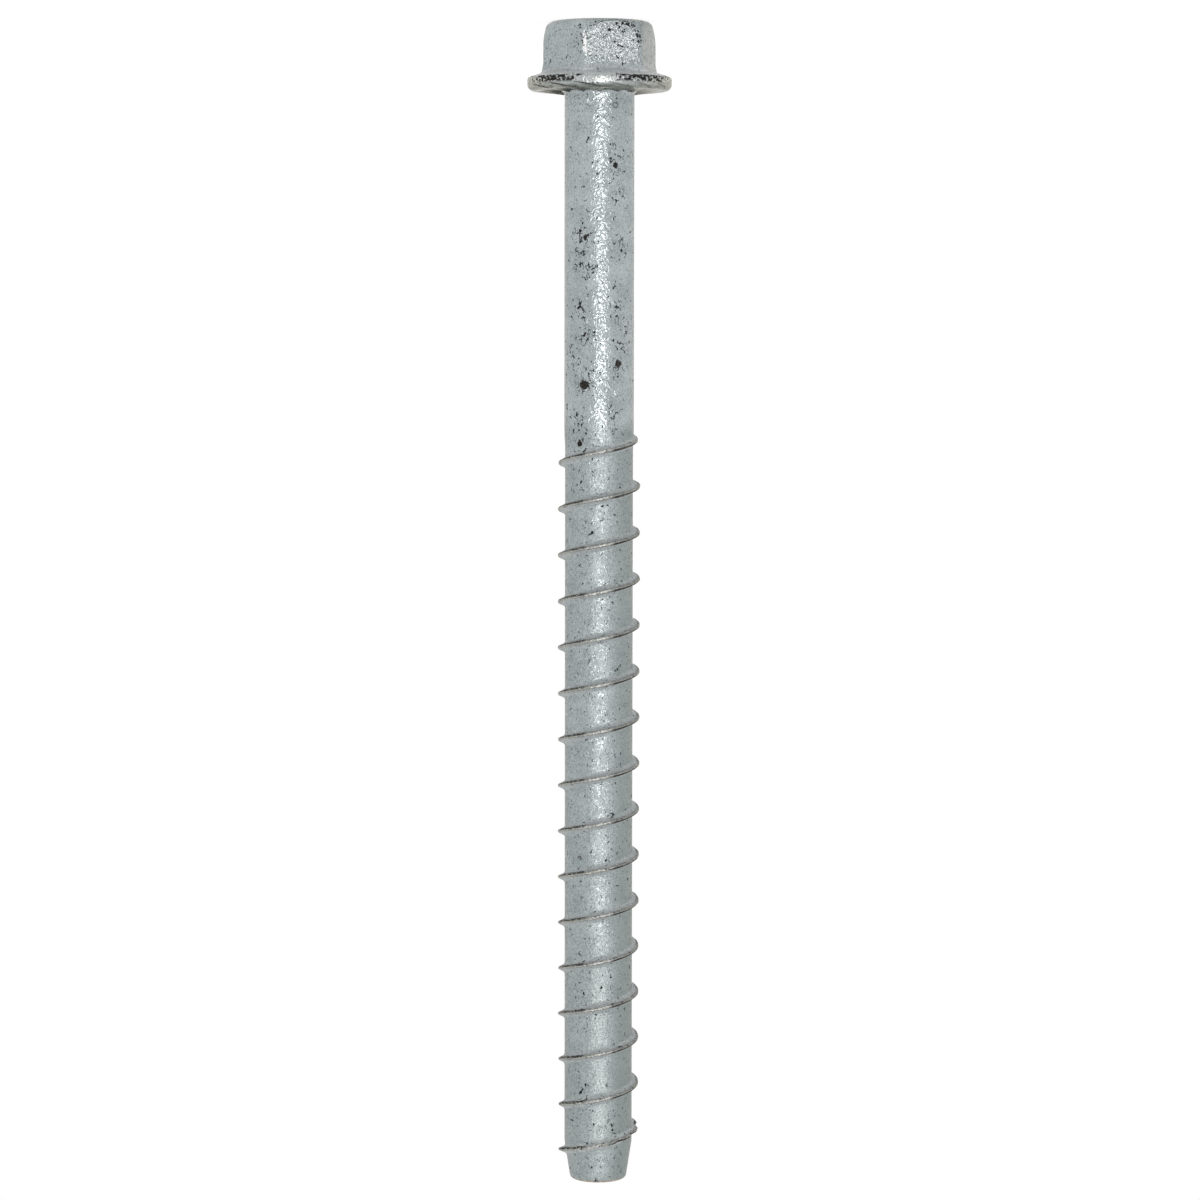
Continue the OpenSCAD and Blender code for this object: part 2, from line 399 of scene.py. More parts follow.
class TipShape:
    """Places the rings of the blunt end in the same way, from the thread to the middle of the end."""

    def __init__(self, sizes, start):
        self.sizes = sizes
        self.start = start
        self.slope = math.atan((sizes.root_radius - sizes.tip_radius) / sizes.taper_length)
        self.centre = Vector((sizes.tip_radius + sizes.tip_round * math.tan(self.slope)
                              - sizes.tip_round / math.cos(self.slope),
                              ANCHOR_LENGTH - sizes.tip_round))

    def round_point(self, lift):
        """A point on the rounded edge of the end."""
        return self.centre + self.sizes.tip_round * Vector((math.cos(lift), math.sin(lift)))

    def taper(self, share, turn):
        end = self.round_point(self.slope)
        start = Vector((end.x + (end.y - self.start) * math.tan(self.slope), self.start))
        return tuple(start.lerp(end, share))

    def edge(self, share, turn):
        return tuple(self.round_point(between(self.slope, math.pi / 2, share)))

    def end(self, share, turn):
        return self.centre.x * (1 - share), ANCHOR_LENGTH

    def rings(self):
        """The stretches of the blunt end, as (place, share) pairs."""
        plan = ((self.taper, 3), (self.edge, 6), (self.end, 5))
        return [(self.taper, 0.0)] + [(place, share) for place, count in plan for share in shares(count)]


class ThreadShape:
    """Places the points of the thread and of the core between its turns."""

    def __init__(self, sizes, shank_radius):
        self.sizes = sizes
        self.shank_radius = shank_radius
        self.start = ANCHOR_LENGTH - sizes.thread_length
        self.end = ANCHOR_LENGTH - sizes.tip_gap
        self.root_start = self.start + sizes.pitch / 2
        self.taper_start = ANCHOR_LENGTH - sizes.taper_length
        self.full_angle = (self.end - self.start) / sizes.pitch * FULL_TURN

    def core(self, height):
        """Radius of the bare core at a height."""
        sizes = self.sizes
        if height < self.taper_start:
            sunk = smooth_step(self.start, self.root_start, height)
            return between(self.shank_radius, sizes.root_radius, sunk)
        taper = (height - self.taper_start) / sizes.taper_length
        return between(sizes.root_radius, sizes.tip_radius, taper)

    def crest(self, along):
        """Reach of the crest at an angle along the thread."""
        sizes = self.sizes
        if along <= 0 or along >= self.full_angle:
            return 0.0
        whole = between(sizes.crest_radius, sizes.crest_tip_radius, along / self.full_angle)
        height = self.start + along / FULL_TURN * sizes.pitch
        rise = whole - self.core(height)
        share = min(1, (along / sizes.run_in) ** sizes.run_in_ease,
                    (self.full_angle - along) / sizes.run_out)
        return max(rise * share - self.worn(along) - self.notch(along), 0)

    def worn(self, along):
        """Depth to which the crest is worn at an angle along the thread: long waves and short ones."""
        depth = self.sizes.wear
        long_waves = depth * abs(noise.noise(Vector((along * 2.3, 0.4, 0.7))))
        return long_waves + depth * 0.5 * abs(noise.noise(Vector((along * 9.1, 3.4, 1.7))))

    def notch(self, along):
        """Depth of the cutting notch at an angle along the thread."""
        sizes = self.sizes
        from_tip = self.full_angle - along
        if from_tip > sizes.notched_turns * FULL_TURN:
            return 0.0
        off = (from_tip - 2 * sizes.notch_spread) % sizes.notch_turn
        off = min(off, sizes.notch_turn - off)
        return sizes.notch_depth * max(1 - off / sizes.notch_spread, 0)

    def radius(self, height, offset, share):
        """Radius of a point at a height, an offset from the crest and a share of the ridge."""
        along = (height - offset - self.start) / self.sizes.pitch * FULL_TURN
        return self.core(height) + share * self.crest(along)


def at(radius, height, turn):
    """A point given by its radius, its height and its direction round the axis."""
    return Vector((radius * math.cos(turn), radius * math.sin(turn), height))


def spin_rings(bm, rings, start_turn, steps):
    """Spins a profile once round the axis and puts each point where its ring has it."""
    marks = bm.verts.layers.int.get("ring") or bm.verts.layers.int.new("ring")
    chain = []
    for index, (place, share) in enumerate(rings):
        vert = bm.verts.new(at(*place(share, start_turn), start_turn))
        vert[marks] = index
        chain.append(vert)
    edges = [bm.edges.new(pair) for pair in zip(chain, chain[1:])]
    old = set(bm.verts) - set(chain)
    bmesh.ops.spin(bm, geom=chain + edges, cent=(0, 0, 0), axis=(0, 0, 1), angle=FULL_TURN,
                   steps=steps, use_merge=True)
    made = [vert for vert in bm.verts if vert not in old]
    for vert in made:
        place, share = rings[vert[marks]]
        turn = math.atan2(vert.co.y, vert.co.x)
        vert.co = at(*place(share, turn), turn)
    return made


def dent_head(verts, sizes):
    """Gives the forged head its shallow unevenness, always inwards."""
    dent_size = 2.2 * MILLIMETRE
    for vert in verts:
        if 0 < vert.co.z < HEAD_HEIGHT:
            depth = abs(noise.noise(vert.co / dent_size))
            reach = vert.co.xy.length
            vert.co.xy *= 1 - sizes.unevenness * depth / max(reach, MILLIMETRE)


def ridge_profile(bm, shape):
    """One pitch of the thread's section at the start of the thread, as rounded wire edges."""
    sizes = shape.sizes
    offsets = bm.verts.layers.float.new("offset")
    rises = bm.verts.layers.float.new("rise")
    ridge = sizes.crest_radius - sizes.root_radius
    half_crest = sizes.crest_width / 2
    half_base = half_crest + ridge * math.tan(sizes.flank_angle)
    outline = ((-sizes.pitch / 2, 0), (-half_base, 0), (-half_crest, ridge),
               (half_crest, ridge), (half_base, 0), (sizes.pitch / 2, 0))
    verts = [bm.verts.new((sizes.root_radius + rise, 0, offset)) for offset, rise in outline]
    for pair in zip(verts, verts[1:]):
        bm.edges.new(pair)
    for corners, reach, segments in (((verts[1], verts[4]), sizes.root_fillet, 4),
                                     ((verts[2], verts[3]), sizes.crest_round, 2)):
        bmesh.ops.bevel(bm, geom=list(corners), offset=reach, offset_type="OFFSET", segments=segments,
                        profile=0.5, affect="VERTICES", material=-1)
    for longest in (2 * ridge, ridge / 2):
        long_edges = [edge for edge in bm.edges if edge.calc_length() > longest]
        bmesh.ops.subdivide_edges(bm, edges=long_edges, cuts=1)
    for vert in bm.verts:
        vert[offsets] = vert.co.z
        vert[rises] = (vert.co.x - sizes.root_radius) / ridge
    return offsets, rises


def spin_thread(mesh, shape, low, high, steps):
    """Spins the section along its helix into a mesh, cut level at both ends."""
    sizes = shape.sizes
    bm = bmesh.new()
    offsets, rises = ridge_profile(bm, shape)
    spare_turns = 2
    first = shape.start - spare_turns * sizes.pitch
    bmesh.ops.rotate(bm, verts=bm.verts, cent=(0, 0, 0),
                     matrix=Matrix.Rotation(sizes.start_turn, 3, "Z"))
    bmesh.ops.translate(bm, verts=bm.verts, vec=(0, 0, first))
    bmesh.ops.spin(bm, geom=bm.verts[:] + bm.edges[:], cent=(0, 0, 0), axis=(0, 0, 1),
                   dvec=(0, 0, sizes.pitch / steps), angle=FULL_TURN, steps=steps)
    one_turn = bm.verts[:] + bm.edges[:] + bm.faces[:]
    for turn in range(1, math.ceil((ANCHOR_LENGTH - first) / sizes.pitch) + 1):
        copy = bmesh.ops.duplicate(bm, geom=one_turn)["geom"]
        verts = [part for part in copy if isinstance(part, bmesh.types.BMVert)]
        bmesh.ops.translate(bm, verts=verts, vec=(0, 0, turn * sizes.pitch))
    bmesh.ops.remove_doubles(bm, verts=bm.verts, dist=TURN_MERGE)
    for vert in bm.verts:
        turn = math.atan2(vert.co.y, vert.co.x)
        vert.co = at(shape.radius(vert.co.z, vert[offsets], vert[rises]), vert.co.z, turn)
    for height, side in ((low, -1), (high, 1)):
        bmesh.ops.bisect_plane(bm, geom=bm.verts[:] + bm.edges[:] + bm.faces[:],
                               plane_co=(0, 0, height), plane_no=(0, 0, side), clear_outer=True)
    bmesh.ops.remove_doubles(bm, verts=bm.verts, dist=POINT_MERGE)
    bm.to_mesh(mesh)
    bm.free()


def open_ring(bm, height):
    """The open edges that lie level at a height."""
    near = 0.05 * MILLIMETRE
    return [edge for edge in bm.edges
            if edge.is_boundary and all(abs(vert.co.z - height) < near for vert in edge.verts)]


def anchor_mesh(head, thread, detail):
    """The whole anchor as one closed skin: head, shank, thread and blunt end."""
    join = 0.5 * MILLIMETRE
    past_thread = 0.8 * MILLIMETRE
    shape = ThreadShape(thread, head.shank_radius)
    low = shape.start - thread.pitch / 8
    high = shape.end + past_thread
    mesh = bpy.data.meshes.new(PIECE)
    bm = bmesh.new()
    head_rings = HeadShape(head, low - join).rings(detail)
    dent_head(spin_rings(bm, head_rings, head.hexagon_turn, detail.turn_steps), head)
    spin_rings(bm, TipShape(thread, high + join).rings(), head.hexagon_turn, detail.turn_steps)
    bmesh.ops.remove_doubles(bm, verts=bm.verts, dist=POINT_MERGE)
    spin_thread(mesh, shape, low, high, detail.turn_steps)
    bm.from_mesh(mesh)
    for below, above in ((low - join, low), (high, high + join)):
        bmesh.ops.bridge_loops(bm, edges=open_ring(bm, below) + open_ring(bm, above))
    bmesh.ops.recalc_face_normals(bm, faces=bm.faces)
    sharp = math.radians(50)
    for edge in bm.edges:
        if edge.is_boundary or not edge.is_manifold:
            raise RuntimeError(f"the skin is open near {edge.verts[0].co}")
        edge.smooth = edge.calc_face_angle(0) < sharp
    for face in bm.faces:
        face.smooth = True
    bm.to_mesh(mesh)
    bm.free()
    return mesh


class Value:
    """A value that changes over a surface. Arithmetic on it adds Math nodes to its tree."""

    def __init__(self, tree, socket):
        self.tree = tree
        self.socket = socket

    def math(self, operation, *others):
        """The result of a Math node that this value goes into first."""
        return self.tree.node("ShaderNodeMath", {"operation": operation},
                              dict(enumerate((self,) + others)))

    def most(self, *others):
        """The largest of this value and the others."""
        largest = self
        for other in others:
            largest = largest.math("MAXIMUM", other)
        return largest

    def __abs__(self):
        return self.math("ABSOLUTE")

    def __add__(self, other):
        return self.math("ADD", other)

    def __sub__(self, other):
        return self.math("SUBTRACT", other)

    def __mul__(self, other):
        return self.math("MULTIPLY", other)

    def __truediv__(self, other):
        return self.math("DIVIDE", other)

    def __pow__(self, other):
        return self.math("POWER", other)

    def __rsub__(self, other):
        return self.tree.node("ShaderNodeMath", {"operation": "SUBTRACT"}, {0: other, 1: self})

    __radd__ = __add__
    __rmul__ = __mul__


class Shading:
    """Adds nodes to the tree of a material or a world."""

    def __init__(self, owner):
        owner.use_nodes = True
        self.nodes = owner.node_tree.nodes
        self.links = owner.node_tree.links
        self.nodes.clear()

    def node(self, kind, settings=None, sockets=None, output=0):
        """Makes a node, sets it up, feeds its sockets and gives one of its outputs."""
        made = self.nodes.new(kind)
        for name, setting in (settings or {}).items():
            setattr(made, name, setting)
        for name, value in (sockets or {}).items():
            if isinstance(value, Value):
                self.links.new(value.socket, made.inputs[name])
            else:
                made.inputs[name].default_value = value
        return Value(self, made.outputs[output]) if made.outputs else None

    def mix(self, share, first, second):
        """Colour at a share of the way from the first to the second."""
        return self.node("ShaderNodeMix", {"data_type": "RGBA"},
                         {0: share, 6: opaque(first), 7: opaque(second)}, output=2)

    def step(self, value, low, high):
        """Rises smoothly from 0 where the value is low to 1 where it is high."""
        return self.node("ShaderNodeMapRange", {"interpolation_type": "SMOOTHSTEP"},
                         {"Value": value, "From Min": low, "From Max": high})

    def fall(self, value, low, high):
        """Falls smoothly from 1 where the value is low to 0 where it is high."""
        return 1 - self.step(value, low, high)

    def grain(self, place, scale, detail, roughness=0.5, distortion=0.0):
        """Noise with a number of spots in each millimetre."""
        return self.node("ShaderNodeTexNoise", {},
                         {"Vector": place, "Scale": scale, "Detail": detail, "Roughness": roughness,
                          "Distortion": distortion})

    def veins(self, place, scale, detail):
        """0 along the lines where noise has its middle value, and more beside them."""
        return abs(self.grain(place, scale, detail) * 2 - 1)

    def stretched(self, place, scale, offset=(0, 0, 0)):
        """A place moved and stretched along the axes."""
        return self.node("ShaderNodeMapping", {}, {"Vector": place, "Scale": scale, "Location": offset})

    def distance(self, place, point):
        """Distance from a place to a fixed point."""
        return self.node("ShaderNodeVectorMath", {"operation": "DISTANCE"}, {0: place, 1: point},
                         output="Value")


def opaque(tint):
    """A colour with full alpha, or the value that carries one."""
    return tint if isinstance(tint, Value) else (*tint[:3], 1)


class Skin:
    """Where on the anchor a point of its skin lies, in millimetres, and the grain that it has there."""

    def __init__(self, tree):
        metres = tree.node("ShaderNodeTexCoord", output="Object")
        self.place = tree.node("ShaderNodeVectorMath", {"operation": "SCALE"},
                               {"Vector": metres, "Scale": 1 / MILLIMETRE})
        axes = [tree.node("ShaderNodeSeparateXYZ", {}, {0: self.place}, axis) for axis in range(3)]
        self.across, self.depth, self.height = axes
        self.front = abs(self.depth)
        self.mirrored = tree.node("ShaderNodeCombineXYZ", {},
                                  {0: self.across, 1: self.front * -1, 2: self.height})
        self.radius = (self.across * self.across + self.depth * self.depth) ** 0.5
        self.facing = self.front / self.radius
        self.side = self.across * self.depth / (self.radius * self.radius)
        self.to_right = tree.step(self.side, -0.2, 0.2)
        self.rise = tree.node("ShaderNodeAttribute", {"attribute_name": "rise"}, output="Fac")
        self.offset = tree.node("ShaderNodeAttribute", {"attribute_name": "offset"}, output="Fac")
        self.mark_head(tree)
        self.mark_thread(tree)
        self.add_grain(tree)

    def mark_head(self, tree):
        """The parts of the head, by height and radius."""
        height = self.height
        radius = self.radius
        head = tree.fall(height, 13.4, 13.8)
        self.on_hexagon = tree.fall(height, 7.6, 8.6)
        self.flat_reach = abs(self.across * FLAT_WAY[0] + self.depth * FLAT_WAY[1])
        self.on_flat = tree.step(self.flat_reach, 9.26, 9.36) * self.on_hexagon
        self.on_foot = (1 - self.on_hexagon) * tree.fall(height, 10.1, 10.4)
        self.in_fillet = tree.step(height, 8.2, 9.0) * tree.fall(height, 10.2, 10.4)
        self.on_flange = tree.step(radius, 7.2, 7.5) * tree.step(height, 10.1, 10.5) * head
        on_rim = tree.step(radius, 12.9, 13.1) * tree.step(height, 10.2, 10.4)
        self.on_band = on_rim * tree.fall(height, 11.3, 11.8)
        # The middle of the band, front and back, where the front light's highlight falls; the painted
        # dark reflections and glints leave it clear
        self.band_middle = self.on_band * tree.step(self.facing, 0.97, 0.99)
        self.on_seat = tree.step(radius, 6.8, 7.1) * tree.step(height, 11.9, 12.4) * head

    def mark_thread(self, tree):
        """The parts of the thread and the tip, and the plain zinc of flanks and foot."""
        end = ANCHOR_LENGTH / MILLIMETRE
        self.in_thread = tree.step(self.height, 73, 76)
        self.to_tip = tree.step(self.height, 120, 215)
        self.end_edge = tree.step(self.height, end - 0.55, end - 0.25) * tree.step(self.radius, 4.4, 4.65)
        self.crest = tree.step(self.rise, 0.74, 0.84)
        flank = tree.step(self.rise, 0.02, 0.2) * (1 - self.crest)
        self.plain = (flank * 0.9).most(self.in_fillet * 0.9)

    def add_grain(self, tree):
        """The noise that more than one mark follows."""
        self.fine = tree.grain(self.place, 2.7, 2, 0.7)
        self.grit = tree.grain(self.place, 3.4, 1, 0.6)
        self.gate = tree.grain(self.place, 1.1, 2, 0.6)
        self.along = tree.grain(tree.stretched(self.place, (1, 1, 1.8)), 2.3, 2, 0.6)


def chip_edge(tree, place):
    """Distance to the edge of the nearest chip in the coating, below 0 inside it."""
    edges = [tree.distance(place, chip[:3]) - chip[3] for chip in CHIPS]
    nearest = edges[0]
    for edge in edges[1:]:
        nearest = nearest.math("MINIMUM", edge)
    return nearest


def coating_damage(tree, skin):
    """How far a point lies in one of the larger chips, and in any dark mark of the coating or painted
    dark reflection on the rim.
    """
    wobble = tree.node("ShaderNodeTexNoise", {}, {"Vector": skin.place, "Scale": 2, "Detail": 3},
                       output="Color")
    jag = 1.1
    jagged = tree.node("ShaderNodeVectorMath", {"operation": "MULTIPLY_ADD"},
                       {0: wobble, 1: (jag, jag, jag), 2: skin.mirrored})
    jagged = tree.node("ShaderNodeVectorMath", {"operation": "SUBTRACT"},
                       {0: jagged, 1: (jag / 2, jag / 2, jag / 2)})
    edge = chip_edge(tree, jagged)
    chips = tree.fall(edge, -0.06, 0.02)

    # Strokes, hair lines and specks, gathered round the chips
    near_chips = tree.fall(edge, 0.2, 2.6) * (1 - skin.on_flange)
    near_chips = near_chips * (1 - skin.on_hexagon * 0.6 - skin.in_thread * 0.6)
    lines = tree.veins(tree.stretched(skin.place, (1, 1, 0.7), (5, 9, 2)), 0.95, 1.5)
    strokes = tree.fall(lines, 0.03, 0.08) * tree.step(skin.gate + near_chips * 0.15, 0.61, 0.64)
    hair = tree.veins(tree.stretched(skin.place, (1, 1, 0.6), (3, 1, 7)), 1.7, 1)
    hair = tree.fall(hair, 0.05, 0.11) * tree.step(skin.fine + near_chips * 0.05, 0.53, 0.6)
    strokes = strokes.most(hair * 0.5 * (1 - skin.in_thread) * (1 - skin.on_flange))
    specks = tree.grain(skin.place, 1.9, 2, 0.6) + near_chips * 0.05 + skin.in_thread * 0.025
    specks = tree.step(specks, 0.69, 0.73)

    # Black blotches on the rim, away from its middle, as painted dark reflections, and scuffs round two
    # flats of the hexagon
    blotch = tree.grain(tree.stretched(skin.place, (1, 1, 1.4)), 1.7, 2, 0.6)
    turned_off = tree.step(skin.facing, 0.45, 0.6) * tree.fall(skin.facing, 0.93, 0.98)
    black = skin.on_band * tree.step(blotch + turned_off * 0.14 - skin.band_middle * 0.2, 0.56, 0.62)
    border = tree.step(skin.flat_reach, 9.0, 9.1) * tree.fall(skin.flat_reach, 9.28, 9.36)
    border = border * tree.fall(skin.height, 5, 6)
    black = black.most(border * tree.step(blotch, 0.53, 0.57))
    return chips, chips.most(strokes, specks * 0.6, black)


def crest_shade_lines(tree, skin):
    """Painted shade: broken dark lines along both edges of the crest, faint on the front and the back."""
    offset = skin.offset / MILLIMETRE
    lower = tree.step(offset, -0.04, 0.02) * tree.step(skin.rise, 0.46, 0.7)
    lower = lower * skin.to_right * tree.step(skin.along + skin.to_right * 0.1, 0.4, 0.46)
    upper = tree.fall(offset, -0.08, 0) * tree.step(skin.rise, 0.52, 0.66)
    upper = upper * (1 - skin.to_right * 0.6) * tree.step(skin.along, 0.42, 0.47)
    return lower.most(upper) * (1 - tree.step(skin.facing, 0.91, 0.97) * 0.75)


def plain_zinc(tree, look, skin):
    """The coating: cloudy and gritty, with painted glints on two flats, painted shade in the thread and
    darker where stained.
    """
    clouds = tree.grain(skin.place, 0.3, 3)
    light = tree.step(clouds * 0.3 + skin.fine * 0.4 + skin.grit * 0.3, 0.4, 0.6)
    zinc = tree.mix(light, look.zinc_dark, look.zinc_light)
    dull = skin.on_flat * 0.45 + skin.in_thread * 0.35
    zinc = tree.mix(dull * tree.fall(skin.grit, 0.36, 0.48), zinc, look.seat_dark)
    # Painted glints: near-white specks that make the front and back flats sparkle
    zinc = tree.mix(skin.on_flat * tree.step(skin.grit, 0.5, 0.6) * 0.4, zinc, look.painted_glint)

    # Painted shade in the thread, deepest at 60 degrees to the right of the front and darker towards the
    # tip
    shaded = tree.step(0.5 - skin.facing * skin.facing + skin.side * 1.732, 0.1, 0.9)
    shaded = skin.in_thread * (shaded * 0.45 + skin.to_tip * 0.15 + 0.15)
    zinc = tree.mix(shaded, zinc, look.painted_shade_and_stain)
    stained = tree.fall(skin.facing, 0.68, 0.74) * tree.step(skin.side, 0, 0.05) * skin.on_hexagon
    return tree.mix(stained * tree.step(skin.gate, 0.3, 0.6) * 0.5, zinc, look.painted_shade_and_stain)


def rim_and_seat(tree, look, skin, teeth, zinc):
    """Zinc with a greenish grey rim, warm in patches, with painted light and glints, and a stained
    underside with painted shade.
    """
    patches = tree.grain(skin.place, 1.2, 3, 0.65)
    rim = tree.mix(tree.step(patches, 0.42, 0.58), look.rim, look.rim_warm)
    # Painted light: the greenish grey rim colour gives way to lighter zinc where the flange faces front
    # and back
    zinc = tree.mix(skin.on_flange * (0.9 - tree.step(skin.facing, 0.55, 0.95) * 0.6), zinc, rim)
    # Painted glints: near-white flecks on the rim band
    rim_glints = skin.on_band * tree.step(tree.grain(skin.place, 2.6, 1), 0.55, 0.62)
    zinc = tree.mix(rim_glints * (1 - skin.band_middle) * 0.4, zinc, look.painted_glint)
    # The underside of the flange is darker: stains and painted shade under it
    stains = tree.grain(tree.stretched(skin.place, (1, 1, 2)), 0.8, 3, 0.6)
    seat = tree.mix(tree.step(stains, 0.3, 0.6), look.seat_dark, look.seat)
    zinc = tree.mix(skin.on_seat, zinc, seat)

    # Painted shade in the steps between the ratchet teeth, which lean over on the rounding of the rim,
    # and under the flange near the shank
    seat_height = HEAD_HEIGHT / MILLIMETRE
    lean = (skin.height.math("MINIMUM", seat_height) - seat_height) * 0.9
    tooth = skin.depth.math("ARCTAN2", skin.across) * (teeth / FULL_TURN) + lean
    tooth = (tooth + (skin.gate - 0.5) * 0.4).math("FRACT")
    steps = tree.fall(abs(tooth - 0.12), 0.06, 0.22)
    steps = steps * tree.step(skin.height, 11.5, 11.9) * skin.on_flange * (1 - skin.to_right * 0.5)
    # Painted shade under the flange near the shank
    inner = skin.on_seat * tree.fall(skin.radius, 8, 10)
    return tree.mix((steps * 0.85).most(inner * 0.75), zinc, look.painted_shade_and_spots)


def matte_parts(tree, look, skin, zinc):
    """Zinc that is plain on the thread's flanks and the hexagon's foot, partly painted light there, and
    lighter still where the foot ends.
    """
    matte = tree.mix(tree.step(skin.fine, 0.4, 0.6), look.matte_dark, look.matte)
    # Matte zinc, lighter as painted light on the shaded flanks and fillet
    zinc = tree.mix(skin.plain, zinc, matte)
    # Painted light where the foot ends
    return tree.mix(skin.in_fillet * tree.step(skin.height, 9, 9.5) * 0.7, zinc, look.foot_painted_light)


def single_marks(tree, look, skin, zinc):
    """Zinc with a painted highlight streak on an edge of the hexagon and a round mark on the shank."""
    from_side = skin.across - HIGHLIGHT_STREAK[0]
    from_front = skin.front - HIGHLIGHT_STREAK[1]
    painted_highlight = (from_side * from_side + from_front * from_front) ** 0.5
    painted_highlight = tree.fall(painted_highlight + (skin.gate - 0.5) * 1.4, 0.15, 0.4)
    painted_highlight = painted_highlight * tree.step(skin.height, 1.6, 2.2) * tree.fall(skin.height, 5.8, 6.6)
    zinc = tree.mix(painted_highlight * 0.9, zinc, look.painted_glint)
    mark = tree.fall(abs(tree.distance(skin.mirrored, ROUND_MARK) - 0.5), 0.08, 0.26)
    return tree.mix(mark * 0.75, zinc, look.seat_dark)


def worn_thread(tree, look, skin, lines, zinc):
    """Zinc with grey worn crests carrying painted glints, most in the middle, painted shade along their
    edges, and a chafed blunt end.
    """
    middle = tree.step(skin.facing, 0.91, 0.97)
    worn = tree.step(skin.grit, 0.38, 0.58) * (0.6 + skin.to_right * 0.4)
    worn = tree.mix(worn, look.crest_dark, look.crest)
    # Painted glints on the crest, most where it faces front and back
    worn = tree.mix((middle * 0.3 + 0.2) * tree.step(skin.along, 0.5, 0.58), worn, look.painted_glint)
    zinc = tree.mix(skin.crest * 0.9, zinc, worn)
    # Painted shade along the crest's edges
    zinc = tree.mix(lines * 0.95, zinc, look.painted_shade_and_spots)
    chafed = tree.mix(tree.step(skin.along, 0.45, 0.6) * 0.7, look.end_edge, look.painted_shade_and_spots)
    return tree.mix(skin.end_edge * 0.75, zinc, chafed)


def relief(tree, skin, dark, lines):
    """Height of the crumpled coating in millimetres: folds and ripples, lower where it is damaged."""
    folds = tree.grain(tree.stretched(skin.place, (1, 1, 0.8)), 0.75, 1.5, distortion=0.4)
    folds = abs((folds * 4).math("FRACT") * 2 - 1)
    ripple = tree.veins(skin.place, 3.2, 1.5)
    smooth = skin.on_foot * 0.85 + skin.on_flange * 0.3 + skin.in_thread * 0.5
    height = ripple * (0.03 + skin.in_thread * 0.03 + skin.on_flat * 0.08) + (1 - smooth) * folds * 0.05
    return height - dark * 0.05 - lines * 0.04


def zinc_material(look, teeth):
    """Galvanised zinc: crumpled and sparkling, pitted and worn at the crests, with painted glints,
    highlights, light, shade and dark reflections.
    """
    material = bpy.data.materials.new("galvanised_zinc")
    tree = Shading(material)
    skin = Skin(tree)
    chips, dark = coating_damage(tree, skin)
    lines = crest_shade_lines(tree, skin)
    zinc = plain_zinc(tree, look, skin)
    zinc = rim_and_seat(tree, look, skin, teeth, zinc)
    zinc = matte_parts(tree, look, skin, zinc)
    zinc = single_marks(tree, look, skin, zinc)
    zinc = worn_thread(tree, look, skin, lines, zinc)
    bare = chips * tree.step(tree.grain(skin.place, 2.2, 1), 0.56, 0.64)
    glints = tree.step(tree.grain(skin.place, 1.5, 2, 0.6), 0.52, 0.58) * (1 - skin.to_tip * 0.6)
    bump = tree.node("ShaderNodeBump", {}, {"Strength": 1, "Distance": MILLIMETRE,
                                            "Height": relief(tree, skin, dark, lines)})
    surface = tree.node("ShaderNodeBsdfPrincipled", {}, {
        "Base Color": tree.mix(dark, zinc, tree.mix(bare, look.pits_and_dark_reflections, look.bare)),
        "Roughness": 0.2 + dark * 0.4 + skin.plain * 0.2 + skin.in_thread * (1 - glints) * 0.25,
        "Metallic": (0.8 - skin.plain * 0.5) * (1 - dark * 0.9),
        "Specular IOR Level": 0.2,
        "Specular Tint": opaque(look.edge_tint),
        "Normal": bump,
    })
    tree.node("ShaderNodeOutputMaterial", {}, {"Surface": surface})
    return material


def shows_white(tree):
    """1 for what the camera, a mirror or a glass sees, 0 for what lights the object."""
    rays = [tree.node("ShaderNodeLightPath", output=f"Is {kind} Ray")
            for kind in ("Camera", "Glossy", "Transmission")]
    return rays[0].most(*rays[1:])


def white_world(world, strength):
    """A white room that lights the object at an even strength."""
    tree = Shading(world)
    fill = tree.node("ShaderNodeBackground", {}, {"Color": (1, 1, 1, 1), "Strength": strength})
    white = tree.node("ShaderNodeBackground", {}, {"Color": (1, 1, 1, 1), "Strength": 1})
    both = tree.node("ShaderNodeMixShader", {}, {0: shows_white(tree), 1: fill, 2: white})
    tree.node("ShaderNodeOutputWorld", {}, {"Surface": both})


def floor_material(stage):
    """A white floor that still takes the anchor's shadow."""
    material = bpy.data.materials.new("white_floor")
    tree = Shading(material)
    paint = tree.node("ShaderNodeBsdfDiffuse", {}, {"Color": (0.8, 0.8, 0.8, 1)})
    shadow = tree.node("ShaderNodeBsdfDiffuse", {}, {"Color": (0.2, 0.2, 0.2, 1)})
    glow = tree.node("ShaderNodeEmission", {}, {"Color": (1, 1, 1, 1), "Strength": stage.floor_white})
    seen = tree.node("ShaderNodeAddShader", {}, {0: shadow, 1: glow})
    both = tree.node("ShaderNodeMixShader", {}, {0: shows_white(tree), 1: paint, 2: seen})
    tree.node("ShaderNodeOutputMaterial", {}, {"Surface": both})
    return material


def link(name, data):
    """A new object in the scene."""
    made = bpy.data.objects.new(name, data)
    bpy.context.scene.collection.objects.link(made)
    return made


def add_floor(stage):
    """A large plain floor at the height on which the anchor stands."""
    bm = bmesh.new()
    bmesh.ops.create_grid(bm, x_segments=1, y_segments=1, size=stage.floor_size / 2)
    mesh = bpy.data.meshes.new("floor")
    bm.to_mesh(mesh)
    bm.free()
    mesh.materials.append(floor_material(stage))
    link("floor", mesh)


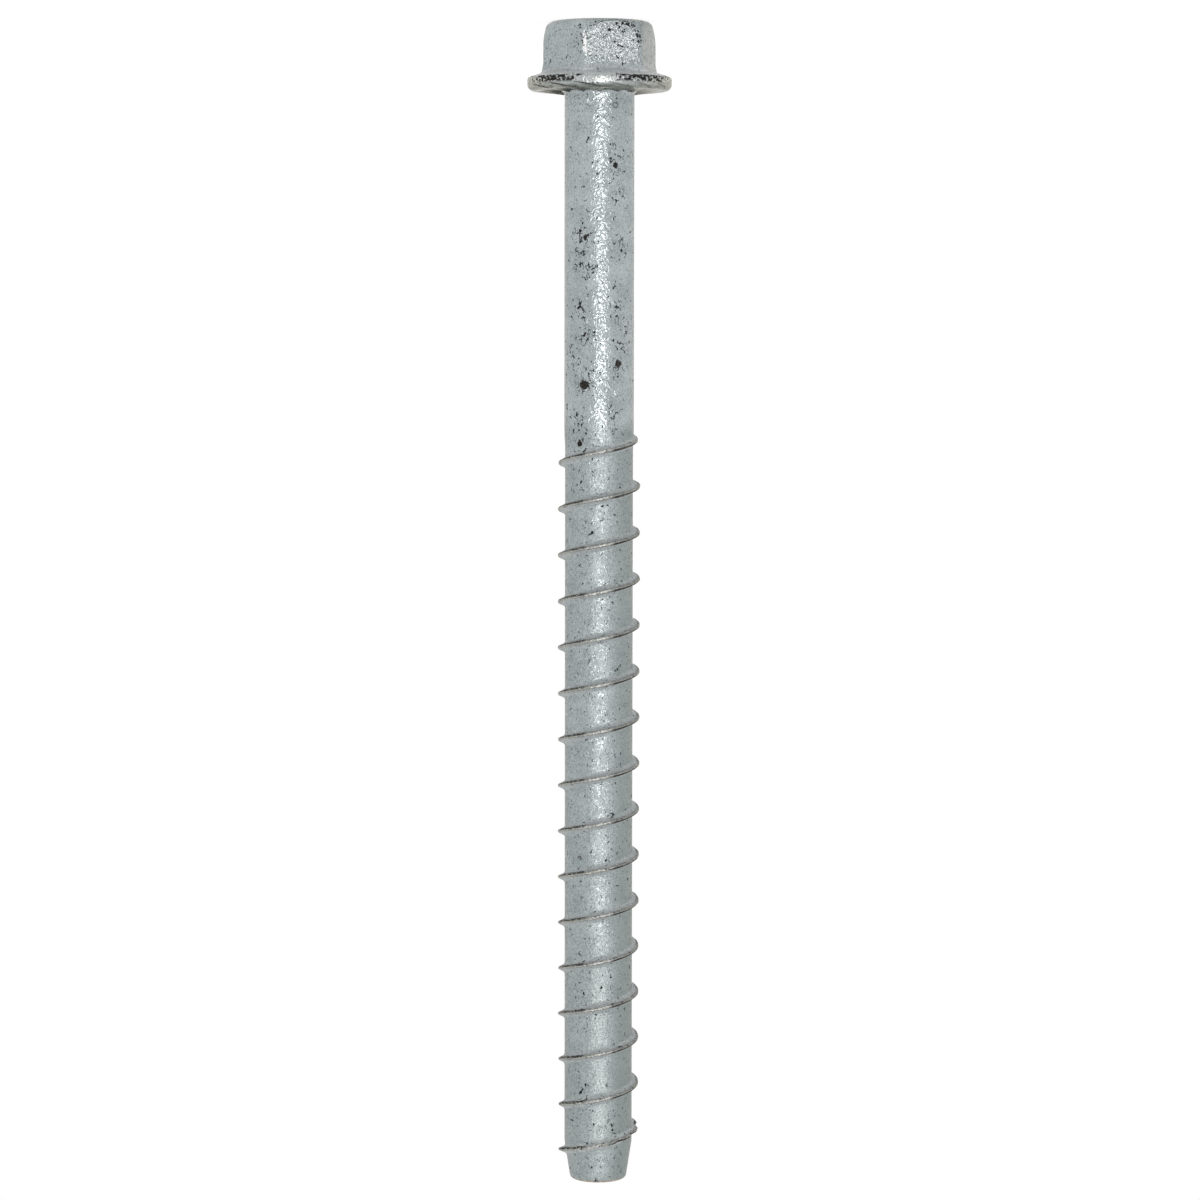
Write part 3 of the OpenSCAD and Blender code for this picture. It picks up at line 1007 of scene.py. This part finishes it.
def add_light(stage):
    """A soft rectangular light in front, turned to the middle of the anchor."""
    spot = Vector(stage.front_spot)
    lamp = bpy.data.lights.new("front_light", "AREA")
    lamp.shape = "RECTANGLE"
    lamp.size = stage.front_width
    lamp.size_y = stage.front_height
    lamp.energy = stage.front_power
    lamp.color = stage.front_tint
    made = link("front_light", lamp)
    made.location = spot
    middle = Vector((0, 0, ANCHOR_LENGTH / 2))
    made.rotation_euler = (middle - spot).to_track_quat("-Z", "Y").to_euler()
    made.visible_camera = False


def add_camera(stage):
    """A camera at the photograph's angle, turned over because the anchor stands on its head."""
    right = Vector((-1, 0, 0))
    up = Vector((0, math.sin(stage.rise), -math.cos(stage.rise)))
    back = right.cross(up)
    leaning = right * math.cos(stage.lean) + up * math.sin(stage.lean)
    upright = up * math.cos(stage.lean) - right * math.sin(stage.lean)
    camera = bpy.data.cameras.new("camera")
    camera.sensor_width = 36
    camera.lens = stage.lens
    camera.clip_start = 0.01
    made = link("camera", camera)
    aim = Vector((0, 0, stage.aim_height)) + leaning * stage.aim_offset
    turn = Matrix((leaning, upright, back)).transposed().to_4x4()
    made.matrix_world = Matrix.Translation(aim + back * stage.distance) @ turn
    bpy.context.scene.camera = made


class SCREWANCHOR_OT_make_anchor(bpy.types.Operator):
    """Model the anchor in place of its plain solid and give it its zinc finish"""

    bl_idname = "screw_anchor.make_anchor"
    bl_label = "Make Anchor"

    def execute(self, context):
        scene = context.scene
        mesh = anchor_mesh(scene.anchor_head, scene.anchor_thread, scene.anchor_detail)
        mesh.materials.append(zinc_material(scene.anchor_finish, scene.anchor_head.tooth_count))
        piece = link(PIECE, mesh)
        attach(piece, "root")
        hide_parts("screw_anchor")
        return {"FINISHED"}


class SCREWANCHOR_OT_set_stage(bpy.types.Operator):
    """Set the white floor, the soft light and the camera"""

    bl_idname = "screw_anchor.set_stage"
    bl_label = "Set Stage"

    def execute(self, context):
        scene = context.scene
        stage = scene.anchor_stage
        scene.view_settings.view_transform = "Standard"
        scene.world = bpy.data.worlds.new("white_room")
        white_world(scene.world, stage.fill)
        add_floor(stage)
        add_light(stage)
        add_camera(stage)
        return {"FINISHED"}


class SCREWANCHOR_PT_panel(bpy.types.Panel):
    """Sizes, finish and stage of the screw anchor"""

    bl_label = "Screw Anchor"
    bl_space_type = "VIEW_3D"
    bl_region_type = "UI"
    bl_category = "Screw Anchor"

    def draw(self, context):
        layout = self.layout
        for name in SETTINGS:
            box = layout.box()
            group = getattr(context.scene, name)
            for field in group.__annotations__:
                box.prop(group, field)
        for operator in OPERATORS:
            layout.operator(operator.bl_idname)


SETTINGS = {
    "anchor_head": HeadSizes,
    "anchor_thread": ThreadSizes,
    "anchor_detail": MeshDetail,
    "anchor_finish": ZincFinish,
    "anchor_stage": StageSettings,
}
OPERATORS = (SCREWANCHOR_OT_make_anchor, SCREWANCHOR_OT_set_stage)
CLASSES = (*SETTINGS.values(), *OPERATORS, SCREWANCHOR_PT_panel)


def register():
    for cls in CLASSES:
        bpy.utils.register_class(cls)
    for name, group in SETTINGS.items():
        setattr(bpy.types.Scene, name, PointerProperty(type=group))


def unregister():
    for name in SETTINGS:
        delattr(bpy.types.Scene, name)
    for cls in reversed(CLASSES):
        bpy.utils.unregister_class(cls)


def main():
    register()
    bpy.ops.screw_anchor.make_anchor()
    bpy.ops.screw_anchor.set_stage()


if __name__ == "__main__":
    main()
